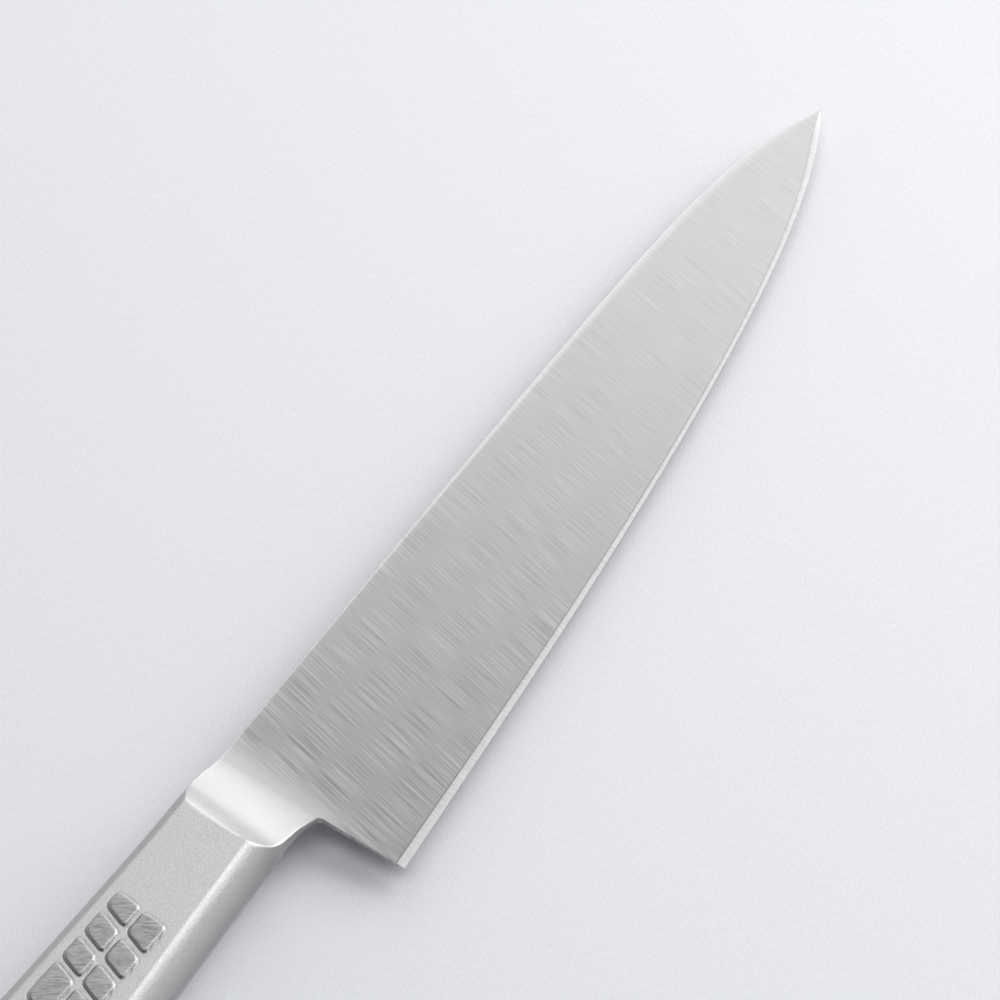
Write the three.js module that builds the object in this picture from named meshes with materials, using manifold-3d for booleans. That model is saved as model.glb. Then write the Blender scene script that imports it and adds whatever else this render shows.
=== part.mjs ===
import * as THREE from 'three';
import { mergeVertices } from 'three/addons/utils/BufferGeometryUtils.js';
import Module from 'manifold-3d';

// Petty knife of stainless steel with a hollow handle, lying on its left side.
// +X runs to the tip, +Y to the spine, +Z out of the right-hand face. All sizes are in millimetres.
// Design frame: X = 0 at the heel, Y = 0 at the crown of the spine, Z = 0 in the blade's mid-plane.

// Blade outline
const bladeLength = 148;
const heelHeight = 31.9;
const tipDrop = 8.0;
const spineCrown = 0.55;
const spineCrownAt = 58;
const spineSweepPower = 11;
const edgeRise = 0.0757;
const bellySweep = 8.7;
const bellySweepPower = 3;
const tipSweepPower = 12;

// Blade thickness, eased spine and cutting bevel
const spineThickness = 1.7;
const heelEdgeThickness = 0.42;
const tipThickness = 0.44;
const heelSpineEase = 0.1;
const tipSpineEase = 0.6;
const bevelAngle = THREE.MathUtils.degToRad(9);

// Neck plate and tang, both cut from the blade's own steel
const neckPlateDepth = 9;
const plateOverlap = 1.2;
const choilRadius = 1.1;
const tangLength = 36;
const tangTop = -4.6;
const tangBottom = -12.4;
const tangEndRadius = 2.5;

// Handle: two pressed shells that meet in the mid-plane
const handleLength = 117;
const handleThickness = 12;
const sheetThickness = 1.4;
const backLean = 2.75;
const bellyLean = 2.4;
const backEdgeRound = 0.5;
const bellyEdgeRound = 1.2;
const neckBackRadius = 12.6;
const neckBellyRadius = 14.6;
const neckRimLength = 9;
const neckRimRound = 0.35;
const crestRound = 1.3;
const choilFlare = 1.6;
const choilFlareLength = 6;
const buttRounding = 10;
const buttFlatShare = 0.45;

// Handle outline: heights of the back and of the belly at equal steps from the heel to the butt
const neckBackAt = 5;
const neckBackHeight = 0.28;
const backHeights = [0.42, 1.02, 1.68, 1.83, 1.29, 0.6];
const neckBellyHeight = -16;
const bellyHeights = [-16.75, -17.75, -18.8, -19.1, -18.9, -19.6];

// Grip pads pressed up in two rows on each side, lengths listed from the neck to the butt
const backRowStart = 27.45;
const bellyRowStart = 28.1;
const padGap = 0.8;
const padRowHeight = 4.3;
const padRowGap = 0.55;
const padRowsMiddle = -8.18;
const padEndMargin = 8;
const padProud = 0.45;
const padRoot = 0.3;
const padCorner = 1;
const padEdgeRound = 0.3;
const padSlant = Math.tan(THREE.MathUtils.degToRad(19));
const padFrontSlant = Math.tan(THREE.MathUtils.degToRad(5.5));
const backRowLengths = [3, 4.05, 4, 6.8, 6.8, 6.8, 6.8, 6.8, 6.8, 4, 4.05];
const bellyRowLengths = [4.2, 4.1, 4, 5.6, 6.8, 6.8, 6.8, 6.8, 5.6, 4, 4.1];

// Welds, ground flush with the shells
const seamWidth = 0.8;
const weldGap = 0.05;
const weldFeather = 0.2;

// Finishes
const groundSteel = { color: 0xb4b5b5, roughness: 0.32, metalness: 1 };
const pressedSteel = { color: 0xc4c5c4, roughness: 0.4, metalness: 1 };
const buffedWeld = { color: 0xd2d2d1, roughness: 0.3, metalness: 1 };

// Facets: how finely curves are divided, and the share of the blade's height that its tip keeps as facets
const bladeStations = 40;
const stationBunching = 1.5;
const tipFacet = 1.2;
const tipFacetShare = 0.4;
const handleStations = 30;
const neckStations = 14;
const buttStations = 8;
const wallSteps = 3;
const cornerSteps = 3;
const tangArcSteps = 6;
const padCornerSteps = 2;
const outlineSamples = 300;
const mergeTolerance = 1e-5;

const wasm = await Module();
wasm.setup();

const { lerp, clamp, mapLinear, smoothstep } = THREE.MathUtils;
const halfFlat = handleThickness / 2;
const buttX = -handleLength;
const roundStartX = buttX + buttRounding;
const beyond = bladeLength + handleLength;

function smoothMin(a, b, width) {
  const mix = Math.max(width - Math.abs(a - b), 0) / width;
  return Math.min(a, b) - mix * mix * width / 4;
}

// Each blade side is one flat plane that thins from spine to edge and from heel to tip.
const edgeThinning = (spineThickness - heelEdgeThickness) / (2 * heelHeight);
const tipThinning = ((spineThickness - tipThickness) / 2 - edgeThinning * tipDrop) / bladeLength;

function faceZ(x, y) {
  return spineThickness / 2 + edgeThinning * y - tipThinning * x;
}

function crownDrop(x) {
  return spineCrown * ((x - spineCrownAt) / spineCrownAt) ** 2;
}

const spineSweep = tipDrop - crownDrop(bladeLength);
const tipSweep = heelHeight - tipDrop - edgeRise * bladeLength - bellySweep;

function spineY(x) {
  return -crownDrop(x) - spineSweep * Math.max(x / bladeLength, 0) ** spineSweepPower;
}

function edgeY(x) {
  const along = x / bladeLength;
  const belly = bellySweep * along ** bellySweepPower;
  return -heelHeight + edgeRise * x + belly + tipSweep * along ** tipSweepPower;
}

function edgeSlope(x) {
  const along = x / bladeLength;
  const belly = bellySweep * bellySweepPower * along ** (bellySweepPower - 1);
  const tip = tipSweep * tipSweepPower * along ** (tipSweepPower - 1);
  return edgeRise + (belly + tip) / bladeLength;
}

// Height of a smooth line through a few points, as a function of x.
function lineThrough(points) {
  const curve = new THREE.SplineCurve(points.map(([x, y]) => new THREE.Vector2(x, y)));
  const samples = curve.getPoints(outlineSamples);
  return (x) => {
    let i = 1;
    while (i < outlineSamples && samples[i].x > x) i += 1;
    const [front, rear] = [samples[i - 1], samples[i]];
    return mapLinear(x, front.x, rear.x, front.y, rear.y);
  };
}

const atSteps = (heights) => heights.map((height, i) => [buttX * (i + 1) / heights.length, height]);
const backLine = lineThrough([
  [choilFlareLength, spineY(choilFlareLength)],
  [0, spineY(0)],
  [-neckBackAt, neckBackHeight],
  ...atSteps(backHeights),
]);
const bellyLine = lineThrough([[0, neckBellyHeight], ...atSteps(bellyHeights)]);

// The belly line turns down into the choil over the last stretch before the heel.
function neckBellyY(x) {
  const flare = Math.max(1 + x / choilFlareLength, 0);
  return bellyLine(x) - choilFlare * flare ** 2;
}

const backSide = { towards: 1, lean: backLean, edgeRound: backEdgeRound, neckRadius: neckBackRadius };
const bellySide = { towards: -1, lean: bellyLean, edgeRound: bellyEdgeRound, neckRadius: neckBellyRadius };

// Concave neck: an arc that leaves the blade's face at the heel and climbs to the flat of the handle.
// It is tighter along the back than along the belly, so its crest runs aslant.
function neckRise(x, inset, neckRadius) {
  const radius = neckRadius + inset;
  return -x < radius ? neckRadius - Math.sqrt(radius ** 2 - x ** 2) : Infinity;
}

function neckReach(height, inset) {
  return -Math.sqrt((neckBellyRadius + inset) ** 2 - (neckBellyRadius - height) ** 2);
}

// Closed section of the handle at x, drawn in by an inset for the inside of the sheet.
// The crisp rim of the neck softens into the wider rounding along the flat sides.
function handleSection(x, inset) {
  const flat = halfFlat - inset;
  const along = clamp((roundStartX - x) / (roundStartX - buttX - inset), 0, 1);
  const shrink = buttFlatShare + (1 - buttFlatShare) * Math.sqrt(1 - along ** 2);
  const middle = (backLine(x) + neckBellyY(x)) / 2;
  const halfHeight = (backLine(x) - neckBellyY(x)) / 2 - inset;
  const softened = smoothstep(-x, neckRimLength, neckBellyRadius);
  const side = ({ towards, lean, edgeRound, neckRadius }) => {
    const wall = (z) => middle + towards * (halfHeight - lean * (z / flat) ** 2);
    const top = smoothMin(flat, faceZ(x, wall(0)) + neckRise(x, inset, neckRadius), crestRound);
    const round = Math.min(lerp(neckRimRound, edgeRound, softened), top / 2);
    const start = new THREE.Vector2(wall(top - round), top - round);
    const corner = new THREE.Vector2(wall(top), top);
    const end = new THREE.Vector2(wall(top) - towards * round, top);
    const points = [];
    for (let i = 0; i < wallSteps; i += 1) {
      const z = start.y * i / wallSteps;
      points.push(new THREE.Vector2(wall(z), z));
    }
    points.push(...new THREE.QuadraticBezierCurve(start, corner, end).getPoints(cornerSteps));
    return points;
  };
  const right = [...side(backSide), ...side(bellySide).reverse()];
  const left = right.slice(1, -1).reverse().map((p) => new THREE.Vector2(p.x, -p.y));
  return [...right, ...left].map((p) => new THREE.Vector3(x, lerp(middle, p.x, shrink), p.y * shrink));
}

// Closed skin over a run of sections with equal point counts; it may end in a point.
function skin(sections, apex) {
  const count = sections[0].length;
  const centre = (section) => section.reduce((sum, p) => sum.add(p), new THREE.Vector3()).divideScalar(count);
  const points = [...sections.flat(), centre(sections[0]), apex ?? centre(sections.at(-1))];
  const [startCap, endCap] = [points.length - 2, points.length - 1];
  const lastRing = (sections.length - 1) * count;
  const index = [];
  for (let k = 0; k < count; k += 1) {
    const next = (k + 1) % count;
    for (let ring = 0; ring < lastRing; ring += count) {
      index.push(ring + k, ring + next, ring + count + k);
      index.push(ring + next, ring + count + next, ring + count + k);
    }
    index.push(startCap, next, k);
    index.push(endCap, lastRing + k, lastRing + next);
  }
  const geometry = new THREE.BufferGeometry().setFromPoints(points).setIndex(index);
  return signedVolume(geometry) < 0 ? turnedOut(geometry) : geometry;
}

function signedVolume(geometry) {
  const position = geometry.getAttribute('position');
  const corner = (i) => new THREE.Vector3().fromBufferAttribute(position, geometry.index.getX(i));
  let volume = 0;
  for (let i = 0; i < geometry.index.count; i += 3) {
    volume += corner(i).dot(corner(i + 1).cross(corner(i + 2))) / 6;
  }
  return volume;
}

function turnedOut(geometry) {
  const index = geometry.index.array;
  for (let i = 0; i < index.length; i += 3) {
    [index[i], index[i + 1]] = [index[i + 1], index[i]];
  }
  return geometry;
}

function solidOf(geometry) {
  const bare = geometry.clone();
  bare.deleteAttribute('normal');
  bare.deleteAttribute('uv');
  const merged = mergeVertices(bare, mergeTolerance);
  return new wasm.Manifold(new wasm.Mesh({
    numProp: 3,
    vertProperties: merged.getAttribute('position').array,
    triVerts: Uint32Array.from(merged.index.array),
  }));
}

function geometryOf(solid) {
  const mesh = solid.getMesh();
  const geometry = new THREE.BufferGeometry();
  geometry.setAttribute('position', new THREE.BufferAttribute(mesh.vertProperties, 3));
  geometry.setIndex(new THREE.BufferAttribute(mesh.triVerts, 1));
  geometry.computeVertexNormals();
  return geometry;
}

function boxBetween(low, high) {
  const size = high.clone().sub(low);
  const box = new THREE.BoxGeometry(size.x, size.y, size.z);
  return solidOf(box.translate(...low.clone().add(high).divideScalar(2)));
}

function mirroredZ(geometry) {
  return turnedOut(geometry.clone().scale(1, 1, -1));
}

// One section of the blade: flat faces, spine corners eased, and the small bevel that meets in the edge.
function bladeSection(x) {
  const [spine, edge] = [spineY(x), edgeY(x)];
  const facetLimit = tipFacetShare * (spine - edge);
  const ease = Math.min(lerp(heelSpineEase, tipSpineEase, x / bladeLength), facetLimit);
  const easeDepth = Math.min(ease, faceZ(x, spine)) / 2;
  const bevelSlope = Math.tan(bevelAngle) / Math.hypot(1, edgeSlope(x));
  const bevelTop = edge + Math.min(faceZ(x, edge) / (bevelSlope - edgeThinning), facetLimit);
  const half = [
    [spine, faceZ(x, spine) - easeDepth],
    [spine - ease, faceZ(x, spine - ease)],
    [bevelTop, faceZ(x, bevelTop)],
  ];
  const left = half.map(([y, z]) => [y, -z]).reverse();
  return [...half, [edge, 0], ...left].map(([y, z]) => new THREE.Vector3(x, y, z));
}

function bladeBody() {
  const sections = [];
  for (let i = 0; i <= bladeStations; i += 1) {
    const bunched = 1 - (1 - i / bladeStations) ** stationBunching;
    sections.push(bladeSection((bladeLength - tipFacet) * bunched));
  }
  return skin(sections, new THREE.Vector3(bladeLength, -tipDrop, 0));
}

// Neck plate with the choil corner, and the tang behind it, between the same two faces as the blade.
function neckPlateAndTang() {
  const shoulderX = -neckPlateDepth;
  const tangEndX = tangEndRadius - tangLength;
  const choilY = neckBellyY(-choilRadius);
  const outline = new THREE.Shape();
  outline.moveTo(plateOverlap, choilY);
  outline.lineTo(plateOverlap, spineY(plateOverlap) - plateOverlap);
  for (let i = 0; i <= neckStations; i += 1) {
    const x = shoulderX * i / neckStations;
    outline.lineTo(x, backLine(x));
  }
  outline.lineTo(shoulderX, tangTop);
  outline.lineTo(tangEndX, tangTop);
  outline.absarc(tangEndX, tangTop - tangEndRadius, tangEndRadius, Math.PI / 2, Math.PI);
  outline.absarc(tangEndX, tangBottom + tangEndRadius, tangEndRadius, Math.PI, 1.5 * Math.PI);
  outline.lineTo(shoulderX, tangBottom);
  for (let i = 0; i <= neckStations; i += 1) {
    const x = lerp(shoulderX, -choilRadius, i / neckStations);
    outline.lineTo(x, neckBellyY(x));
  }
  outline.absarc(-choilRadius, choilY - choilRadius, choilRadius, Math.PI / 2, 0, true);
  outline.lineTo(plateOverlap, choilY - choilRadius);
  const plate = new THREE.ExtrudeGeometry(outline, {
    depth: spineThickness,
    bevelEnabled: false,
    curveSegments: tangArcSteps,
  });
  const position = plate.getAttribute('position');
  for (let i = 0; i < position.count; i += 1) {
    const half = faceZ(position.getX(i), position.getY(i));
    position.setZ(i, position.getZ(i) > spineThickness / 2 ? half : -half);
  }
  return plate;
}

// Form of the handle from the feather edge of the neck welds to the butt, drawn in by an inset.
function handleForm(inset) {
  const neckEnd = -neckBellyRadius - inset;
  const stations = [];
  for (let i = 0; i < neckStations; i += 1) {
    stations.push(lerp(neckReach(weldFeather, inset), neckEnd, i / neckStations));
  }
  for (let i = 0; i < handleStations; i += 1) {
    stations.push(lerp(neckEnd, roundStartX, i / handleStations));
  }
  for (let i = 0; i <= buttStations; i += 1) {
    const turn = Math.PI / 2 * i / buttStations;
    stations.push(roundStartX - (buttRounding - inset) * Math.sin(turn));
  }
  return solidOf(skin(stations.map((x) => handleSection(x, inset))));
}

// Room for the neck plate between the shells, with the welding gap on each face.
function bladeSlot() {
  const section = (x) => [[1, 1], [-1, 1], [-1, -1], [1, -1]].map(([up, out]) => {
    const y = up * heelHeight;
    return new THREE.Vector3(x, y, out * (Math.max(faceZ(x, y), 0) + weldGap));
  });
  return solidOf(skin([section(-neckPlateDepth - weldGap), section(plateOverlap)]));
}

// One pad: a rounded four-sided pillow with slanted ends, in a row that runs along with the back.
function gripPad(frontX, length, topY, frontSlant) {
  const rearX = frontX - length;
  const bottomY = topY - padRowHeight;
  const corners = [
    new THREE.Vector2(frontX, topY),
    new THREE.Vector2(frontX - frontSlant * padRowHeight, bottomY),
    new THREE.Vector2(rearX - padSlant * padRowHeight, bottomY),
    new THREE.Vector2(rearX, topY),
  ];
  corners.forEach((corner) => {
    corner.y += backLine(corner.x) - backLine(-backRowStart);
  });
  const outline = new THREE.Shape();
  corners.forEach((corner, i) => {
    const towards = (other) => other.clone().sub(corner).setLength(padCorner).add(corner);
    const before = towards(corners.at(i - 1));
    const after = towards(corners[(i + 1) % corners.length]);
    if (i === 0) outline.moveTo(before.x, before.y);
    else outline.lineTo(before.x, before.y);
    outline.quadraticCurveTo(corner.x, corner.y, after.x, after.y);
  });
  const pad = new THREE.ExtrudeGeometry(outline, {
    depth: padProud + padRoot - padEdgeRound,
    bevelThickness: padEdgeRound,
    bevelSize: padEdgeRound,
    bevelOffset: -padEdgeRound,
    bevelSegments: 1,
    curveSegments: padCornerSteps,
  });
  return solidOf(pad.translate(0, 0, halfFlat - padRoot));
}

// A row stops where its next pad would run into the rounding of the butt.
function padRow(start, topY, lengths) {
  const endX = roundStartX + padEndMargin;
  const pads = [];
  let frontX = -start;
  for (const length of lengths) {
    if (frontX - length - padSlant * padRowHeight < endX) break;
    pads.push(gripPad(frontX, length, topY, pads.length ? padSlant : padFrontSlant));
    frontX -= length + padGap;
  }
  return pads;
}

const handle = handleForm(0);
const cavity = handleForm(sheetThickness);
const slot = bladeSlot();
const lipX = neckReach(sheetThickness, 0);
const seamHalf = seamWidth / 2;
const seamFrontX = -neckPlateDepth - 2 * weldGap;
const buttMiddleY = (backHeights.at(-1) + bellyHeights.at(-1)) / 2;

const shellSpace = boxBetween(
  new THREE.Vector3(-beyond, -beyond, seamHalf),
  new THREE.Vector3(lipX, beyond, beyond),
);
const gripPads = [
  ...padRow(backRowStart, padRowsMiddle + padRowGap / 2 + padRowHeight, backRowLengths),
  ...padRow(bellyRowStart, padRowsMiddle - padRowGap / 2, bellyRowLengths),
];
const plainShell = handle.intersect(shellSpace).subtract(cavity).subtract(slot);
const shellRight = geometryOf(gripPads.reduce((shell, pad) => shell.add(pad), plainShell));

const lipSpace = boxBetween(
  new THREE.Vector3(lipX + weldGap, -beyond, 0),
  new THREE.Vector3(0, beyond, beyond),
);
const neckWeldRight = geometryOf(handle.intersect(lipSpace).subtract(slot));

function seamRun(lowY, highY) {
  const low = new THREE.Vector3(-beyond, lowY, weldGap - seamHalf);
  const high = new THREE.Vector3(seamFrontX, highY, seamHalf - weldGap);
  return geometryOf(handle.intersect(boxBetween(low, high)).subtract(cavity));
}

const blade = geometryOf(solidOf(bladeBody()).add(solidOf(neckPlateAndTang())));

const assembly = new THREE.Group();

function place(name, geometry, finish) {
  const mesh = new THREE.Mesh(geometry, new THREE.MeshStandardMaterial(finish));
  mesh.name = name;
  assembly.add(mesh);
}

place('blade', blade, groundSteel);
place('handle_shell_right', shellRight, pressedSteel);
place('handle_shell_left', mirroredZ(shellRight), pressedSteel);
place('neck_weld_right', neckWeldRight, buffedWeld);
place('neck_weld_left', mirroredZ(neckWeldRight), buffedWeld);
place('spine_seam_weld', seamRun(buttMiddleY + weldGap, beyond), buffedWeld);
place('belly_seam_weld', seamRun(-beyond, buttMiddleY - weldGap), buffedWeld);

// The origin is under the middle of the knife's box, on the surface that it lies on.
const box = new THREE.Box3().setFromObject(assembly);
const centre = box.getCenter(new THREE.Vector3());
assembly.position.set(-centre.x, -centre.y, -box.min.z);

const knife = new THREE.Group();
knife.name = 'petty_knife';
knife.add(assembly);

export default knife;
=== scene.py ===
import math

import bmesh
import bpy
import numpy as np
from mathutils import Matrix, Vector


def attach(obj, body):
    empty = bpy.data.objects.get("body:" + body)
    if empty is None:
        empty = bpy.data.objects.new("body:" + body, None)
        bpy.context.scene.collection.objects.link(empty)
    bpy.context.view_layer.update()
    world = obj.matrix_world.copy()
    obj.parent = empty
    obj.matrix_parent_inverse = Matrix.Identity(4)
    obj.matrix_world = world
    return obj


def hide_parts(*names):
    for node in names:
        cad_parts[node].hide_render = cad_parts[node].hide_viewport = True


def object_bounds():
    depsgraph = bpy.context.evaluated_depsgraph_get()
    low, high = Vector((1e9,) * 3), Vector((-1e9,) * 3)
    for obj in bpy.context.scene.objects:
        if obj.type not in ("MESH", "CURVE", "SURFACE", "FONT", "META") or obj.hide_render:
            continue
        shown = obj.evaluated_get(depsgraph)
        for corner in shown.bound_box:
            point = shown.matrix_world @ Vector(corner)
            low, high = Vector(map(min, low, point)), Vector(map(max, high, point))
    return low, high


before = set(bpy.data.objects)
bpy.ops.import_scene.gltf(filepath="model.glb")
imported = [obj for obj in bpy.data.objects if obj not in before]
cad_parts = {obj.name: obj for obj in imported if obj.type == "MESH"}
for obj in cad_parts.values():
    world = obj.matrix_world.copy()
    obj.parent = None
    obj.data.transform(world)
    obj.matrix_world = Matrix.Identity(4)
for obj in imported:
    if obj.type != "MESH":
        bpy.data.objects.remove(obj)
cadLow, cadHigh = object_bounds()
scene = bpy.context.scene
scene.view_settings.view_transform = "Standard"
mm = 0.001
print("frame loaded:", len(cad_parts), "nodes")

# sizes below are millimetres in the knife's own frame: x = 0 at the heel and + to the tip,
# y = 0 at the crown of the spine and + to the back, z = 0 in the blade's mid-plane
bladeForm = {
    "length": 148.0,
    "heelHeight": 31.9,
    "tipDrop": 8.0,
    "spineCrown": 0.55,
    "spineCrownAt": 58.0,
    "spineSweepPower": 11,
    "edgeRise": 0.0757,
    "bellySweep": 8.7,
    "bellySweepPower": 3,
    "tipSweepPower": 12,
    "spineThickness": 1.7,
    "heelEdgeThickness": 0.42,
    "tipThickness": 0.44,
    "heelSpineEase": 0.28,
    "tipSpineEase": 2.0,
    "easeDepth": (0.5, 0.9),    # of the eased width, at the heel and at the tip
    "bevelAngle": math.radians(9),
    "bevelPower": 1.25,     # the bevel is a little convex, steepest at the edge
    "tipShare": 0.45,       # of the height left near the tip, for the bevel and for the eased spine
    "tipBlend": 1.5,        # the bevel narrows softly to the tip; higher is more sudden
    "neckPlateDepth": 9.0,
    "choilRadius": 1.1,
    "tangLength": 36.0,
    "tangTop": -4.6,
    "tangBottom": -12.4,
    "runOut": 0.284,        # how far the neck still stands over the flat face at the heel
    "runOutLength": 6.5,
    "runOutBehind": 2.2,
    "runOutSlant": 0.15,
    "runOutBelow": (-29.0, -17.0),
}

# where the knife's own frame lies in the row frame
knifeShift = Vector((
    cadHigh.x - bladeForm["length"] * mm,
    cadLow.y + bladeForm["heelHeight"] * mm,
    (cadLow.z + cadHigh.z) / 2,
))


def inRow(points):
    return np.asarray(points, float) * mm + np.array(knifeShift)


def smoothMin(a, b, width):
    mix = np.maximum(width - np.abs(a - b), 0) / width
    return np.minimum(a, b) - mix * mix * width / 4


def smoothStep(value, low, high):
    t = np.clip((value - low) / (high - low), 0, 1)
    return t * t * (3 - 2 * t)


def mixed(a, b, t):
    return a + (b - a) * t


# blade sides are flat planes that thin from spine to edge and from heel to tip
spineHalf = bladeForm["spineThickness"] / 2
edgeThinning = (spineHalf - bladeForm["heelEdgeThickness"] / 2) / bladeForm["heelHeight"]
tipThinning = spineHalf - bladeForm["tipThickness"] / 2 - edgeThinning * bladeForm["tipDrop"]
tipThinning /= bladeForm["length"]


# over the first few millimetres the neck runs out on the flat face, earlier on the belly side
def faceZ(x, y):
    flat = spineHalf + edgeThinning * y - tipThinning * x
    along = x - bladeForm["runOutSlant"] * y
    length, behind = bladeForm["runOutLength"], bladeForm["runOutBehind"]
    ahead = np.clip(1 - along / length, 0, 1) ** 2
    back = np.clip(-along, 0, behind)
    swell = ahead + (2 * back - back * back / behind) / length
    return flat + bladeForm["runOut"] * swell * smoothStep(y, *bladeForm["runOutBelow"])


def crownDrop(x):
    return bladeForm["spineCrown"] * ((x - bladeForm["spineCrownAt"]) / bladeForm["spineCrownAt"]) ** 2


def spineY(x):
    sweep = bladeForm["tipDrop"] - crownDrop(bladeForm["length"])
    along = np.maximum(x / bladeForm["length"], 0)
    return -crownDrop(x) - sweep * along ** bladeForm["spineSweepPower"]


def tipSweep():
    rise = bladeForm["edgeRise"] * bladeForm["length"]
    return bladeForm["heelHeight"] - bladeForm["tipDrop"] - rise - bladeForm["bellySweep"]


def edgeY(x):
    along = x / bladeForm["length"]
    belly = bladeForm["bellySweep"] * along ** bladeForm["bellySweepPower"]
    tip = tipSweep() * along ** bladeForm["tipSweepPower"]
    return -bladeForm["heelHeight"] + bladeForm["edgeRise"] * x + belly + tip


def edgeSlope(x):
    along = x / bladeForm["length"]
    power, tipPower = bladeForm["bellySweepPower"], bladeForm["tipSweepPower"]
    belly = bladeForm["bellySweep"] * power * along ** (power - 1)
    tip = tipSweep() * tipPower * along ** (tipPower - 1)
    return bladeForm["edgeRise"] + (belly + tip) / bladeForm["length"]


handleForm = {
    "length": 117.0,
    "thickness": 12.0,
    "sheet": 1.4,
    "lean": {1: 2.75, -1: 2.4},         # back and belly
    "edgeRound": {1: 0.4, -1: 0.6},
    "edgeDrop": {1: 0.4, -1: 0.9},
    "edgeFlat": {1: 0.0, -1: 0.3},      # how much of the edge is a flat facet
    "edgeFullAt": -12.2,
    "neckRadius": {1: 10.1, -1: 7.8},
    "neckStart": {1: -1.1, -1: -3.4},   # the hollow begins later on the belly side
    "neckLip": -6.24,                   # where the shell ends and its weld goes on
    "neckRimLength": 9.0,
    "neckRimRound": 0.35,
    "crestRound": 2.5,
    "choilFlare": 1.6,
    "choilFlareLength": 6.0,
    "buttRounding": 10.0,
    "buttFlatShare": 0.45,
    "neckBack": (-5.0, 0.28),
    "backHeights": (0.42, 1.02, 1.68, 1.83, 1.29, 0.6),
    "neckBellyHeight": -16.0,
    "bellyHeights": (-16.75, -17.75, -18.8, -19.1, -18.9, -19.6),
    "curveSteps": 60,
    "seamHalf": 0.4,
    "weldStart": -0.35,     # where the ground weld has thinned to nothing on the blade
}


# smooth curve through the points, as a function of x
def lineThrough(points):
    ends = np.array([points[0], *points, points[-1]], float)
    t = np.linspace(0, 1, handleForm["curveSteps"])[:, None]
    runs = []
    for a, b, c, d in zip(ends, ends[1:], ends[2:], ends[3:]):
        m, n = (c - a) / 2, (d - b) / 2
        runs.append((2 * b - 2 * c + m + n) * t ** 3 + (3 * c - 3 * b - 2 * m - n) * t ** 2 + m * t + b)
    line = np.concatenate(runs)[::-1]
    return lambda x: np.interp(x, line[:, 0], line[:, 1])


def atSteps(heights):
    return [(-handleForm["length"] * (i + 1) / len(heights), h) for i, h in enumerate(heights)]


backLine = lineThrough([
    (handleForm["choilFlareLength"], spineY(handleForm["choilFlareLength"])),
    (0, spineY(0)),
    handleForm["neckBack"],
    *atSteps(handleForm["backHeights"]),
])
bellyLine = lineThrough([(0, handleForm["neckBellyHeight"]), *atSteps(handleForm["bellyHeights"])])


def neckBellyY(x):
    flare = np.maximum(1 + x / handleForm["choilFlareLength"], 0)
    return bellyLine(x) - handleForm["choilFlare"] * flare ** 2


# one lengthwise line of the handle's skin: side is 1 on the back and -1 on the belly,
# part is wall, corner or flat, and t runs from 0 to 1 across it
def handleLine(x, side, part, t, inset=0.0, lowZ=0.0):
    x = np.asarray(x, float)
    flat = handleForm["thickness"] / 2 - inset
    rounding = handleForm["buttRounding"]
    along = np.clip((rounding - handleForm["length"] - x) / (rounding - inset), 0, 1)
    shrink = mixed(np.sqrt(1 - along ** 2), 1, handleForm["buttFlatShare"])
    back, belly = backLine(x), neckBellyY(x)
    middle, half = (back + belly) / 2, (back - belly) / 2 - inset
    softened = smoothStep(-x, handleForm["neckRimLength"], -handleForm["edgeFullAt"])

    def wall(towards, z):
        return middle + towards * (half - handleForm["lean"][towards] * (z / flat) ** 2)

    def cornerOf(towards):
        arc = handleForm["neckRadius"][towards]
        away = np.maximum(handleForm["neckStart"][towards] - x, 0)
        rise = arc - np.sqrt(np.maximum((arc + inset) ** 2 - away ** 2, 0))
        rise = np.where(away < arc + inset, rise, np.inf)
        top = smoothMin(flat, faceZ(x, wall(towards, 0)) + rise, handleForm["crestRound"])
        edgeRound = mixed(handleForm["neckRimRound"], handleForm["edgeRound"][towards], softened)
        edgeDrop = mixed(handleForm["neckRimRound"], handleForm["edgeDrop"][towards], softened)
        return top, np.minimum(edgeRound, top / 2), np.minimum(edgeDrop, top / 2)

    top, edgeRound, edgeDrop = cornerOf(side)
    startZ = top - edgeDrop
    if part == "wall":
        z = mixed(lowZ, startZ, t)
        y = wall(side, z)
    elif part == "corner":
        startY, cornerY = wall(side, startZ), wall(side, top)
        endY = cornerY - side * edgeRound
        pull = 2 * t * (1 - t) * (1 - handleForm["edgeFlat"][side] * softened)
        y = mixed(startY, endY, t) + pull * (cornerY - (startY + endY) / 2)
        z = mixed(startZ, top, t) + pull * (top - startZ) / 2
    else:
        farTop, farRound = cornerOf(-side)[:2]
        y = mixed(wall(side, top) - side * edgeRound, wall(-side, farTop) + side * farRound, t)
        z = mixed(top, farTop, t)
    return np.stack([x, middle + (y - middle) * shrink, z * shrink], -1)


def gridQuads(rows, columns, first=0):
    corner = first + np.arange(rows * columns).reshape(rows, columns)
    quads = np.stack([corner[:-1, :-1], corner[:-1, 1:], corner[1:, 1:], corner[1:, :-1]], -1)
    return quads.reshape(-1, 4).tolist()


joinDistance = 1e-7     # points closer than this, in metres, are one


def makePiece(name, points, faces, sharpAngle=math.radians(30)):
    mesh = bpy.data.meshes.new(name)
    mesh.from_pydata(inRow(points).tolist(), [], faces)
    work = bmesh.new()
    work.from_mesh(mesh)
    bmesh.ops.remove_doubles(work, verts=work.verts, dist=joinDistance)
    bmesh.ops.recalc_face_normals(work, faces=work.faces)
    work.to_mesh(mesh)
    work.free()
    mesh.shade_smooth()
    mesh.set_sharp_from_angle(angle=sharpAngle)
    piece = bpy.data.objects.new(name, mesh)
    scene.collection.objects.link(piece)
    return piece


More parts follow.
